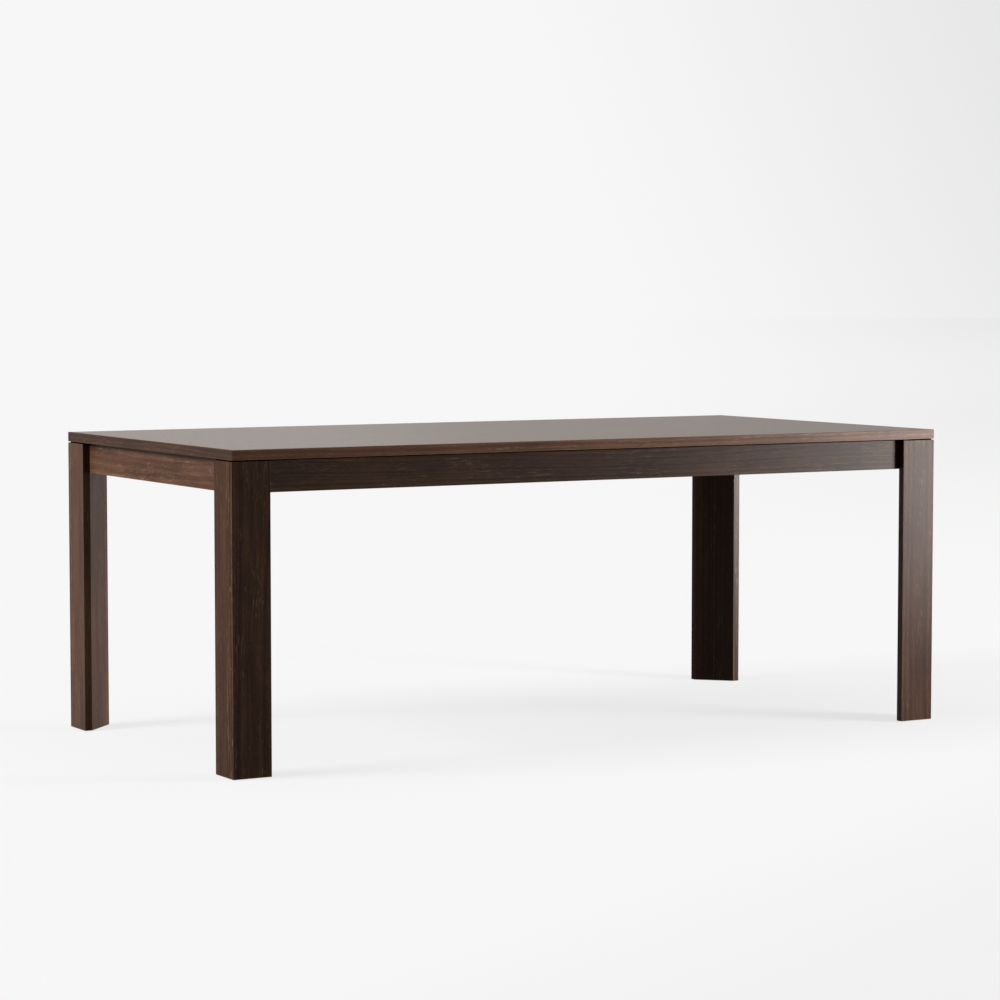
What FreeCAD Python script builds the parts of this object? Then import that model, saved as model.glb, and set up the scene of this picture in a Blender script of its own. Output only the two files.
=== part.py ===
# Parsons dining table, in millimetres.
#
# The origin is on the floor, under the middle of the top. +X runs along the table, +Y towards its
# back long side, and +Z up. Four posts stand flush with the corners of the top. Each has its inner
# corner cut off, and the mitred ends of the aprons butt on that diagonal face, where a corner block
# and two hanger bolts pull the post home.
import FreeCAD, Part

import math
import os

from FreeCAD import Vector

# Overall size
table_length = 2010.0
table_width = 995.0
table_height = 762.0

# Top: a core board with a veneer on each face and a solid lipping along each edge
top_thickness = 24.0
veneer_thickness = 0.6
lipping_width = 6.0
top_arris = 0.8

# Posts: glued up from staves that lie side by side across the table's width
leg_width = 98.0
leg_edge = 19.0  # the narrow face on each side of the diagonal one
leg_arris = 1.0
reveal_height = 3.0  # shadow line between a post and the top
reveal_depth = 5.0
stave_names = ("outer", "middle", "inner")

# Aprons: boards on edge, set back so that they meet a post where its diagonal face begins
apron_height = 77.0
apron_thickness = 22.0
apron_arris = 0.8

# Cross rails: two boards between the long aprons, under the top
rail_spacing = 640.0
rail_height = 60.0
rail_thickness = 22.0

# Dowels between the cross rails and the long aprons
dowel_radius = 4.0
dowel_length = 40.0
dowel_seat = 15.0  # the part that is in the apron
dowel_inset = 15.0  # from the rail's lower edge to the lower dowel
dowel_spacing = 22.0
dowel_chamfer = 1.0
dowel_clearance = 0.05

# Corner blocks, which stand clear of the posts so that the bolts can draw them up
block_gap = 8.0
block_thickness = 30.0
block_margin = 8.5  # how far a block stays from the aprons' upper and lower edges

# M8 hanger bolts, two in each post, with a washer and a nut behind the block
bolt_radius = 4.0
bolt_embed = 50.0
bolt_spacing = 34.0
bolt_stickout = 4.0
bolt_point = 6.0
bolt_hole_clearance = 0.5
thread_clearance = 0.08
washer_radius = 8.0
washer_thickness = 1.6
washer_clearance = 0.2
nut_across_flats = 13.0
nut_height = 6.5

# Pan-head wood screws
screw_radius = 2.25
screw_head_radius = 4.25
screw_head_height = 2.8
screw_head_rounding = 0.9
screw_point = 4.0
screw_tip_radius = 0.4
screw_drive_width = 2.8
screw_drive_depth = 1.6
pilot_clearance = 0.08
counterbore_clearance = 1.25

# Where the screws go
block_screw_spacing = 32.0
block_screw_sink = 6.2  # from the block's sloping back, at the screw's axis, to the head's seat
block_screw_bite = 16.0  # the part that is in the apron
rail_screw_spacing = 300.0
rail_screw_cover = 25.0
top_screw_bite = 16.0  # the part that is in the top
clip_screw_inset = 14.0

# Steel Z-clips that hold the top, each with its tongue in a groove along the apron
clip_width = 24.0
clip_thickness = 1.6
clip_flange = 26.0
clip_standoff = 2.0
tongue_play = 1.5  # from the tongue's end to the groove's floor
groove_drop = 12.0  # from the top's underside to the groove's upper wall
groove_depth = 8.0
groove_play = 1.4

# Levelling feet: a nylon pad on a steel stem, in a threaded insert
foot_gap = 2.0  # between a post and the floor
foot_inset = 40.0  # from a post's two outer faces to the stem's axis
pad_radius = 13.0
pad_height = 8.0
pad_arris = 1.0
socket_depth = 5.0
socket_clearance = 0.1
ball_radius = 5.0
stem_radius = 4.0
stem_length = 40.0
collar_across_flats = 13.0
collar_height = 4.0
stem_chamfer = 1.0
recess_clearance = 2.0  # round the pad
recess_headroom = 2.0  # between the collar and the recess's ceiling
insert_radius = 6.5
insert_length = 20.0
insert_clearance = 0.05
stem_hole_clearance = 0.5
stem_hole_overrun = 6.0

# Every cutting tool starts and ends this far outside the piece that it cuts
cut_margin = 5.0

# Places closer together than this are taken as one
coincidence = 0.01

# Heights and distances that follow from the sizes above
underside = table_height - top_thickness
apron_bottom = underside - apron_height
apron_inner = leg_edge + apron_thickness
rail_bottom = underside - rail_height
block_bottom = apron_bottom + block_margin
block_height = apron_height - 2 * block_margin
block_middle = block_bottom + block_height / 2
diagonal_sum = leg_width + leg_edge  # on a post's diagonal face, the two distances in add up to this
diagonal_reach = diagonal_sum / math.sqrt(2)  # from a post's outer corner to its diagonal face
block_near = diagonal_reach + block_gap
block_far = block_near + block_thickness
block_screw_cover = block_thickness / math.sqrt(2) - block_screw_sink
tongue_length = groove_depth - tongue_play
collar_top = pad_height + collar_height
recess_top = collar_top + recess_headroom
stem_top = collar_top + stem_length
counterbore_radius = screw_head_radius + counterbore_clearance

UP = Vector(0, 0, 1)
DOWN = Vector(0, 0, -1)


class Corner:
    """A corner of the table: u is the distance in from its end face, and v from its side face."""

    def __init__(self, name, toward_x, toward_y):
        self.name = name
        self.toward_x = toward_x
        self.toward_y = toward_y
        self.inward = Vector(-toward_x, -toward_y, 0).normalize()
        self.u_axis = Vector(-toward_x, 0, 0)
        self.v_axis = Vector(0, -toward_y, 0)

    def point(self, u, v, z):
        """A place at given distances in from the two outer faces."""
        x = self.toward_x * (table_length / 2 - u)
        y = self.toward_y * (table_width / 2 - v)
        return Vector(x, y, z)

    def diagonal_point(self, distance, z):
        """A place on the line that halves the corner, at a distance in from the corner."""
        return self.point(distance / math.sqrt(2), distance / math.sqrt(2), z)


class Side:
    """A side of the table: distances run along it from its middle, and in from its face."""

    def __init__(self, name, outward, half_reach, half_span):
        self.name = name
        self.outward = outward
        self.half_reach = half_reach
        self.half_span = half_span
        self.along = UP.cross(outward)

    def point(self, along, inward, z):
        """A place along the side and in from its face."""
        return self.along * along + self.outward * (self.half_reach - inward) + UP * z


CORNERS = [
    Corner("front_left", -1, -1),
    Corner("front_right", 1, -1),
    Corner("back_left", -1, 1),
    Corner("back_right", 1, 1),
]
SIDES = [
    Side("front", Vector(0, -1, 0), table_width / 2, table_length / 2),
    Side("back", Vector(0, 1, 0), table_width / 2, table_length / 2),
    Side("left", Vector(-1, 0, 0), table_length / 2, table_width / 2),
    Side("right", Vector(1, 0, 0), table_length / 2, table_width / 2),
]
LONG_SIDES = SIDES[:2]
SHORT_SIDES = SIDES[2:]
RAILS = [("left", -rail_spacing / 2), ("right", rail_spacing / 2)]


# Basic shapes


def box_between(one, other):
    """Box with two opposite corners given, in any order."""
    low = Vector(min(one.x, other.x), min(one.y, other.y), min(one.z, other.z))
    high = Vector(max(one.x, other.x), max(one.y, other.y), max(one.z, other.z))
    size = high - low
    return Part.makeBox(size.x, size.y, size.z, low)


def prism(outline, height):
    """Upright prism on a flat outline of straight sides."""
    wire = Part.makePolygon(outline + outline[:1])
    return Part.Face(wire).extrude(UP * height)


def rounded_prism(outline, radius, height):
    """Upright prism on a flat outline whose sides meet in tangent arcs."""
    count = len(outline)
    arcs = []
    for index, corner in enumerate(outline):
        to_last = (outline[index - 1] - corner).normalize()
        to_next = (outline[(index + 1) % count] - corner).normalize()
        half_angle = to_last.getAngle(to_next) / 2
        setback = radius / math.tan(half_angle)
        bulge = radius / math.sin(half_angle) - radius
        middle = corner + (to_last + to_next).normalize() * bulge
        arcs.append((corner + to_last * setback, middle, corner + to_next * setback))
    edges = []
    for index, (start, middle, end) in enumerate(arcs):
        last_end = arcs[index - 1][2]
        edges.append(Part.LineSegment(last_end, start).toShape())
        edges.append(Part.Arc(start, middle, end).toShape())
    return Part.Face(Part.Wire(edges)).extrude(UP * height)


def regular_prism(base, axis, across_flats, sides, height):
    """Prism with equal sides round an axis."""
    first = axis.cross(UP) if abs(axis.z) < 0.5 else Vector(1, 0, 0)
    first.normalize()
    second = axis.cross(first)
    radius = across_flats / 2 / math.cos(math.pi / sides)
    outline = []
    for index in range(sides):
        angle = 2 * math.pi * (index + 0.5) / sides
        outline.append(base + first * (radius * math.cos(angle)) + second * (radius * math.sin(angle)))
    wire = Part.makePolygon(outline + outline[:1])
    return Part.Face(wire).extrude(axis * height)


def through_hole(radius, start, axis, length):
    """Round cutter that overruns both ends of the stretch that it cuts."""
    return Part.makeCylinder(radius, length + 2 * cut_margin, start - axis * cut_margin, axis)


def blind_hole(radius, mouth, axis, depth):
    """Round cutter that overruns only the mouth of the hole."""
    return Part.makeCylinder(radius, depth + cut_margin, mouth - axis * cut_margin, axis)


def screw(seat, axis, shank_length):
    """Pan-head wood screw with a square drive. Its head rests on the seat, and it points along axis."""
    straight = shank_length - screw_point
    head = Part.makeCylinder(screw_head_radius, screw_head_height, seat, axis * -1)
    head_top = seat - axis * screw_head_height
    rim = [edge for edge in head.Edges if edge.BoundBox.Center.isEqual(head_top, coincidence)]
    head = head.makeFillet(screw_head_rounding, rim)
    shank = Part.makeCylinder(screw_radius, straight, seat, axis)
    tip = seat + axis * straight
    point = Part.makeCone(screw_radius, screw_tip_radius, screw_point, tip, axis)
    drive_floor = seat - axis * (screw_head_height - screw_drive_depth)
    drive = regular_prism(drive_floor, axis * -1, screw_drive_width, 4, screw_drive_depth + cut_margin)
    return head.multiFuse([shank, point]).removeSplitter().cut(drive)


def screw_pilot(seat, axis, shank_length):
    """Cutter for a screw's shank, from its seat to its tip."""
    return blind_hole(screw_radius + pilot_clearance, seat, axis, shank_length)


# Places that more than one piece shares


def clip_places():
    """Each clip's side and its place along it: midway in each bay between blocks and rails."""
    block_end = block_far * math.sqrt(2) - apron_inner
    places = []
    for side in LONG_SIDES:
        end_bay = (rail_spacing / 2 + side.half_span - block_end) / 2
        for along in (-end_bay, -rail_spacing / 4, rail_spacing / 4, end_bay):
            places.append((side, along))
    for side in SHORT_SIDES:
        half_bay = (side.half_span - block_end) / 2
        for along in (-half_bay, half_bay):
            places.append((side, along))
    return places


def clip_screw_seat(side, along):
    """Where a clip's screw head rests, under the clip's flange."""
    return side.point(along, apron_inner + clip_screw_inset, underside - clip_thickness)


def rail_screw_seats():
    """Where the heads of the cross rails' screws rest, inside their counterbores."""
    seats = []
    for _, x in RAILS:
        for y in (-rail_screw_spacing, 0, rail_screw_spacing):
            seats.append(Vector(x, y, underside - rail_screw_cover))
    return seats


def dowel_starts(side):
    """The end of each dowel that is in a long apron."""
    starts = []
    for _, x in RAILS:
        for lift in (dowel_inset, dowel_inset + dowel_spacing):
            place = side.outward * (side.half_reach - apron_inner + dowel_seat)
            starts.append(place + Vector(x, 0, rail_bottom + lift))
    return starts


def bolt_heights():
    """The height of each of a post's two hanger bolts."""
    return (block_middle - bolt_spacing / 2, block_middle + bolt_spacing / 2)


def block_screw_seats(corner):
    """Seat and direction of each screw that holds a corner block to its two aprons."""
    foot_middle = (block_near + block_far) / math.sqrt(2) - apron_inner
    head_place = apron_inner + block_screw_cover
    seats = []
    for z in (block_middle - block_screw_spacing / 2, block_middle + block_screw_spacing / 2):
        seats.append((corner.point(foot_middle, head_place, z), corner.v_axis * -1))
        seats.append((corner.point(head_place, foot_middle, z), corner.u_axis * -1))
    return seats


# Top


def lipping(side):
    """Edge strip with mitred ends, cut out of the rounded outline of the whole top."""
    low_corner = Vector(-table_length / 2, -table_width / 2, underside)
    slab = Part.makeBox(table_length, table_width, top_thickness, low_corner)
    slab = slab.makeFillet(top_arris, slab.Edges)
    outer = side.half_span + cut_margin
    inner = side.half_span - lipping_width
    z = underside - cut_margin
    outline = [
        side.point(-outer, -cut_margin, z),
        side.point(outer, -cut_margin, z),
        side.point(inner, lipping_width, z),
        side.point(-inner, lipping_width, z),
    ]
    return slab.common(prism(outline, top_thickness + 2 * cut_margin))


def top_layer(bottom, thickness):
    """One full layer of the top inside the lippings."""
    half_length = table_length / 2 - lipping_width
    half_width = table_width / 2 - lipping_width
    low = Vector(-half_length, -half_width, bottom)
    high = Vector(half_length, half_width, bottom + thickness)
    return box_between(low, high)


def top_pilots():
    """Cutters for every screw that goes up into the top."""
    clip_shank = clip_thickness + top_screw_bite
    rail_shank = rail_screw_cover + top_screw_bite
    pilots = [screw_pilot(clip_screw_seat(side, along), UP, clip_shank) for side, along in clip_places()]
    pilots += [screw_pilot(seat, UP, rail_shank) for seat in rail_screw_seats()]
    return pilots


def top_core():
    """Core board."""
    thickness = top_thickness - 2 * veneer_thickness
    return top_layer(underside + veneer_thickness, thickness).cut(top_pilots())


def top_face_veneer():
    """Show veneer on the upper face."""
    return top_layer(table_height - veneer_thickness, veneer_thickness)


def top_backing_veneer():
    """Balancing veneer on the lower face."""
    return top_layer(underside, veneer_thickness).cut(top_pilots())


# Posts


def post_blank(corner):
    """Whole post: a square with its inner corner cut off, its shadow line, holes and foot recess."""
    outline = [
        corner.point(0, 0, foot_gap),
        corner.point(leg_width, 0, foot_gap),
        corner.point(leg_width, leg_edge, foot_gap),
        corner.point(leg_edge, leg_width, foot_gap),
        corner.point(0, leg_width, foot_gap),
    ]
    post = rounded_prism(outline, leg_arris, underside - foot_gap)
    reveal_bottom = underside - reveal_height
    above = underside + cut_margin
    far = leg_width + cut_margin
    cutters = [
        box_between(
            corner.point(-cut_margin, -cut_margin, reveal_bottom), corner.point(reveal_depth, far, above)
        ),
        box_between(
            corner.point(-cut_margin, -cut_margin, reveal_bottom), corner.point(far, reveal_depth, above)
        ),
    ]
    for z in bolt_heights():
        mouth = corner.diagonal_point(diagonal_reach, z)
        cutters.append(blind_hole(bolt_radius + thread_clearance, mouth, corner.inward * -1, bolt_embed))
    foot = corner.point(foot_inset, foot_inset, foot_gap)
    ceiling = corner.point(foot_inset, foot_inset, recess_top)
    stem_room = stem_top + stem_hole_overrun - recess_top
    cutters.append(blind_hole(pad_radius + recess_clearance, foot, UP, recess_top - foot_gap))
    cutters.append(blind_hole(insert_radius + insert_clearance, ceiling, UP, insert_length))
    cutters.append(blind_hole(stem_radius + stem_hole_clearance, ceiling, UP, stem_room))
    return post.cut(cutters)


def post_staves(corner):
    """The post's staves, from the side face inwards, each with its name."""
    blank = post_blank(corner)
    stave_width = leg_width / len(stave_names)
    last = len(stave_names) - 1
    staves = []
    for index, stave_name in enumerate(stave_names):
        low = index * stave_width - (cut_margin if index == 0 else 0)
        high = (index + 1) * stave_width + (cut_margin if index == last else 0)
        slab = box_between(
            corner.point(-cut_margin, low, 0), corner.point(leg_width + cut_margin, high, table_height)
        )
        staves.append((stave_name, blank.common(slab)))
    return staves


# Apron frame


def apron(side):
    """Board on edge with its ends mitred to the posts' diagonal faces and a groove for the clips."""
    outer = side.half_span - leg_width
    inner = side.half_span - diagonal_sum + apron_inner
    outline = [
        side.point(-outer, leg_edge, apron_bottom),
        side.point(outer, leg_edge, apron_bottom),
        side.point(inner, apron_inner, apron_bottom),
        side.point(-inner, apron_inner, apron_bottom),
    ]
    board = prism(outline, apron_height)
    lower_arrises = []
    for edge in board.Edges:
        middle = edge.BoundBox.Center
        if abs(middle.z - apron_bottom) < coincidence and abs(middle.dot(side.along)) < coincidence:
            lower_arrises.append(edge)
    board = board.makeFillet(apron_arris, lower_arrises)
    groove_top = underside - groove_drop
    groove = box_between(
        side.point(-side.half_span, apron_inner - groove_depth, groove_top - clip_thickness - groove_play),
        side.point(side.half_span, apron_inner + cut_margin, groove_top),
    )
    cutters = [groove]
    for corner in CORNERS:
        for seat, axis in block_screw_seats(corner):
            if axis.dot(side.outward) > 0.5:
                cutters.append(screw_pilot(seat, axis, block_screw_cover + block_screw_bite))
    if side in LONG_SIDES:
        for start in dowel_starts(side):
            mouth = start - side.outward * dowel_seat
            cutters.append(blind_hole(dowel_radius + dowel_clearance, mouth, side.outward, dowel_seat))
    return board.cut(cutters)


def cross_rail(x):
    """Board between the long aprons, with dowel holes in its ends and counterbored screw holes."""
    half_length = table_width / 2 - apron_inner
    rail = box_between(
        Vector(x - rail_thickness / 2, -half_length, rail_bottom),
        Vector(x + rail_thickness / 2, half_length, underside),
    )
    cutters = []
    for side in LONG_SIDES:
        for start in dowel_starts(side):
            mouth = start - side.outward * dowel_seat
            depth = dowel_length - dowel_seat
            cutters.append(blind_hole(dowel_radius + dowel_clearance, mouth, side.outward * -1, depth))
    for seat in rail_screw_seats():
        foot = Vector(seat.x, seat.y, rail_bottom)
        cutters.append(blind_hole(counterbore_radius, foot, UP, rail_height - rail_screw_cover))
        cutters.append(through_hole(screw_radius + pilot_clearance, seat, UP, rail_screw_cover))
    return rail.cut(cutters)


def dowel(start, axis):
    """Beech dowel with chamfered ends."""
    peg = Part.makeCylinder(dowel_radius, dowel_length, start, axis)
    rims = [edge for edge in peg.Edges if edge.BoundBox.DiagonalLength < dowel_length and edge.Closed]
    return peg.makeChamfer(dowel_chamfer, rims)


def corner_block(corner):
    """Hardwood block across a corner of the apron frame, parallel to the post's diagonal face."""
    near = block_near * math.sqrt(2) - apron_inner
    far = block_far * math.sqrt(2) - apron_inner
    outline = [
        corner.point(near, apron_inner, block_bottom),
        corner.point(far, apron_inner, block_bottom),
        corner.point(apron_inner, far, block_bottom),
        corner.point(apron_inner, near, block_bottom),
    ]
    cutters = []
    for z in bolt_heights():
        start = corner.diagonal_point(block_near, z)
        cutters.append(through_hole(bolt_radius + bolt_hole_clearance, start, corner.inward, block_thickness))
    for seat, axis in block_screw_seats(corner):
        cutters.append(screw_pilot(seat, axis, block_screw_cover + block_screw_bite))
        cutters.append(Part.makeCylinder(counterbore_radius, block_thickness, seat, axis * -1))
    return prism(outline, block_height).cut(cutters)


# Fasteners


def hanger_bolt(corner, z):
    """Stud with a pointed wood thread in the post and a machine thread through the block."""
    length = bolt_embed + block_gap + block_thickness + washer_thickness + nut_height + bolt_stickout
    shank_start = corner.diagonal_point(diagonal_reach - bolt_embed + bolt_point, z)
    shank = Part.makeCylinder(bolt_radius, length - bolt_point, shank_start, corner.inward)
    point = Part.makeCone(bolt_radius, screw_tip_radius, bolt_point, shank_start, corner.inward * -1)
    return shank.fuse(point).removeSplitter()


def washer(corner, z):
    """Flat washer against the block."""
    start = corner.diagonal_point(block_far, z)
    disc = Part.makeCylinder(washer_radius, washer_thickness, start, corner.inward)
    return disc.cut(through_hole(bolt_radius + washer_clearance, start, corner.inward, washer_thickness))


def nut(corner, z):
    """Hex nut against the washer."""
    start = corner.diagonal_point(block_far + washer_thickness, z)
    hexagon = regular_prism(start, corner.inward, nut_across_flats, 6, nut_height)
    return hexagon.cut(through_hole(bolt_radius + thread_clearance, start, corner.inward, nut_height))


def top_clip(side, along):
    """Bent steel clip: a flange under the top, a riser, and a tongue under the groove's upper wall."""
    flange_top = underside
    flange_bottom = underside - clip_thickness
    tongue_top = underside - groove_drop
    tongue_bottom = tongue_top - clip_thickness
    riser_near = apron_inner + clip_standoff
    riser_far = riser_near + clip_thickness
    section = [
        (apron_inner - tongue_length, tongue_bottom),
        (riser_far, tongue_bottom),
        (riser_far, flange_bottom),
        (apron_inner + clip_flange, flange_bottom),
        (apron_inner + clip_flange, flange_top),
        (riser_near, flange_top),
        (riser_near, tongue_top),
        (apron_inner - tongue_length, tongue_top),
    ]
    start = along - clip_width / 2
    outline = [side.point(start, inward, z) for inward, z in section]
    wire = Part.makePolygon(outline + outline[:1])
    clip = Part.Face(wire).extrude(side.along * clip_width)
    seat = clip_screw_seat(side, along)
    return clip.cut(through_hole(screw_radius + pilot_clearance, seat, UP, clip_thickness))


# Levelling feet


def foot_axis_point(corner, z):
    """A place on the axis of a post's levelling foot."""
    return corner.point(foot_inset, foot_inset, z)


def leveler_insert(corner):
    """Threaded steel sleeve in the post, above the foot's recess."""
    start = foot_axis_point(corner, recess_top)
    sleeve = Part.makeCylinder(insert_radius, insert_length, start, UP)
    return sleeve.cut(through_hole(stem_radius + thread_clearance, start, UP, insert_length))


def leveler_pad(corner):
    """Round nylon pad on the floor, with a socket for the stem's foot."""
    pad = Part.makeCylinder(pad_radius, pad_height, foot_axis_point(corner, 0), UP)
    rims = [edge for edge in pad.Edges if edge.Closed and edge.BoundBox.ZLength < pad_height / 2]
    pad = pad.makeFillet(pad_arris, rims)
    mouth = foot_axis_point(corner, pad_height)
    return pad.cut(blind_hole(ball_radius + socket_clearance, mouth, DOWN, socket_depth))


def leveler_stem(corner):
    """Steel stem: a foot that turns in the pad's socket, a hex collar and a threaded rod."""
    socket_floor = foot_axis_point(corner, pad_height - socket_depth)
    foot = Part.makeCylinder(ball_radius, socket_depth, socket_floor, UP)
    collar_base = foot_axis_point(corner, pad_height)
    collar = regular_prism(collar_base, UP, collar_across_flats, 6, collar_height)
    rod = Part.makeCylinder(stem_radius, stem_length, foot_axis_point(corner, collar_top), UP)
    upper_rim = [edge for edge in rod.Edges if abs(edge.BoundBox.Center.z - stem_top) < coincidence]
    rod = rod.makeChamfer(stem_chamfer, upper_rim)
    return foot.multiFuse([collar, rod]).removeSplitter()


# The whole table


def top_nodes():
    """Every piece of the top, by name."""
    nodes = {
        "top_core": [top_core()],
        "top_face_veneer": [top_face_veneer()],
        "top_backing_veneer": [top_backing_veneer()],
    }
    for side in SIDES:
        nodes["lipping_" + side.name] = [lipping(side)]
    return nodes


def frame_nodes():
    """Every wooden piece of the posts and the apron frame, by name."""
    nodes = {}
    for corner in CORNERS:
        for stave_name, stave in post_staves(corner):
            nodes["leg_" + corner.name + "_" + stave_name + "_stave"] = [stave]
    for side in SIDES:
        nodes["apron_" + side.name] = [apron(side)]
    for rail_name, x in RAILS:
        nodes["cross_rail_" + rail_name] = [cross_rail(x)]
    for corner in CORNERS:
        nodes["corner_block_" + corner.name] = [corner_block(corner)]
    nodes["rail_dowels"] = [
        dowel(start, side.outward * -1) for side in LONG_SIDES for start in dowel_starts(side)
    ]
    return nodes


def fastener_nodes():
    """Every set of like fasteners, by name."""
    bolt_places = [(corner, z) for corner in CORNERS for z in bolt_heights()]
    block_seats = [place for corner in CORNERS for place in block_screw_seats(corner)]
    block_shank = block_screw_cover + block_screw_bite
    clip_shank = clip_thickness + top_screw_bite
    rail_shank = rail_screw_cover + top_screw_bite
    return {
        "hanger_bolts": [hanger_bolt(corner, z) for corner, z in bolt_places],
        "hanger_bolt_washers": [washer(corner, z) for corner, z in bolt_places],
        "hanger_bolt_nuts": [nut(corner, z) for corner, z in bolt_places],
        "block_screws": [screw(seat, axis, block_shank) for seat, axis in block_seats],
        "top_clips": [top_clip(side, along) for side, along in clip_places()],
        "clip_screws": [screw(clip_screw_seat(side, along), UP, clip_shank) for side, along in clip_places()],
        "rail_screws": [screw(seat, UP, rail_shank) for seat in rail_screw_seats()],
    }


def leveler_nodes():
    """The three pieces of each levelling foot, by name."""
    nodes = {}
    for corner in CORNERS:
        nodes["leveler_insert_" + corner.name] = [leveler_insert(corner)]
        nodes["leveler_pad_" + corner.name] = [leveler_pad(corner)]
        nodes["leveler_stem_" + corner.name] = [leveler_stem(corner)]
    return nodes


def main():
    """Write one STEP file for each named piece or set of like fasteners."""
    os.makedirs("parts", exist_ok=True)
    nodes = {**top_nodes(), **frame_nodes(), **fastener_nodes(), **leveler_nodes()}
    for name, shapes in nodes.items():
        solids = [solid for shape in shapes for solid in shape.Solids]
        piece = solids[0] if len(solids) == 1 else Part.makeCompound(solids)
        piece.exportStep("parts/" + name + ".step")
        print(name, len(solids), round(sum(solid.Volume for solid in solids)))


main()
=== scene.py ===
"""Looks of the parsons dining table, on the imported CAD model.

The CAD nodes keep their shapes and get their finishes here. The hanger bolts, their nuts and the
levelling stems are modelled again with real threads, and stand in for their plain nodes. A pale
floor, soft lamps and the camera complete the scene. Lengths are in metres, in the CAD frame.
"""

import logging
import math
from abc import ABC, abstractmethod
from dataclasses import dataclass, field, replace
from enum import Enum
from itertools import product
from typing import Any, Optional, Sequence, Union

import bpy
import numpy as np
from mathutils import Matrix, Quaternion, Vector


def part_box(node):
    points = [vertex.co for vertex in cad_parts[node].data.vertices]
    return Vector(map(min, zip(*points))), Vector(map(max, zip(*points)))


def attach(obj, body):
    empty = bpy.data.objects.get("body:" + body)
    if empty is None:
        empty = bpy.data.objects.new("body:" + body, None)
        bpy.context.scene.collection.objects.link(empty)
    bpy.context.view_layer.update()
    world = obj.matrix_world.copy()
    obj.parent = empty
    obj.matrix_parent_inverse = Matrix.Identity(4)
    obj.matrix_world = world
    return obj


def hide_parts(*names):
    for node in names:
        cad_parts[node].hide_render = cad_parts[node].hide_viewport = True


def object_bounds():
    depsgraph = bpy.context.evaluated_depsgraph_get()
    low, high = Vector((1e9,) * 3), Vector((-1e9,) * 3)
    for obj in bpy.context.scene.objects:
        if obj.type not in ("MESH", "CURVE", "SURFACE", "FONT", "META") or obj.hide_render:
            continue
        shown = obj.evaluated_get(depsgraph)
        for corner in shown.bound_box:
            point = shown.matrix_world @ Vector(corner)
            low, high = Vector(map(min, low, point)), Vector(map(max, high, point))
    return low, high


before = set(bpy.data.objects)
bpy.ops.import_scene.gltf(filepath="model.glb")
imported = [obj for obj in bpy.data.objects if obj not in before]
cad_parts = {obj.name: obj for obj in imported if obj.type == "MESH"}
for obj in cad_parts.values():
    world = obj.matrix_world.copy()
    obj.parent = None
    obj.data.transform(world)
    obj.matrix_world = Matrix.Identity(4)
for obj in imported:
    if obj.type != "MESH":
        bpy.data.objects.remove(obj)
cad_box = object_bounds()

LOG = logging.getLogger("table")
MM = 0.001
SKIN = (0.2 * MM, 0.3 * MM)  # a face's own look goes to the first depth, and ends at the second
CREASE = math.radians(32)  # faces that meet at more than this have a sharp edge
NUT_CHAMFER = math.radians(30)  # between a hexagon's end face and the cone round it
NUT_FACE = 0.95  # the width of that end face beside the hexagon's width

Pair = tuple[float, float]
Triple = tuple[float, float, float]
Colour = Triple
Term = Union["Sock", float]
Value = Union["Sock", float, Sequence[float]]
Inputs = dict[Union[int, str], Value]


# Shader graphs


class Sock:
    """An output socket of a shader node. Arithmetic on it adds Math nodes to its graph."""

    def __init__(self, graph: "Graph", socket: bpy.types.NodeSocket) -> None:
        """Wraps one output socket of a node in the graph."""
        self.graph = graph
        self.socket = socket

    def __add__(self, other: Term) -> "Sock":
        """The sum of the two."""
        return self.graph.math("ADD", self, other)

    __radd__ = __add__

    def __sub__(self, other: Term) -> "Sock":
        """This less the other."""
        return self.graph.math("SUBTRACT", self, other)

    def __rsub__(self, other: Term) -> "Sock":
        """The other less this."""
        return self.graph.math("SUBTRACT", other, self)

    def __mul__(self, other: Term) -> "Sock":
        """The product of the two."""
        return self.graph.math("MULTIPLY", self, other)

    __rmul__ = __mul__

    def __truediv__(self, other: Term) -> "Sock":
        """This divided by the other."""
        return self.graph.math("DIVIDE", self, other)

    def __abs__(self) -> "Sock":
        """The size of this, without its sign."""
        return self.graph.math("ABSOLUTE", self)


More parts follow.
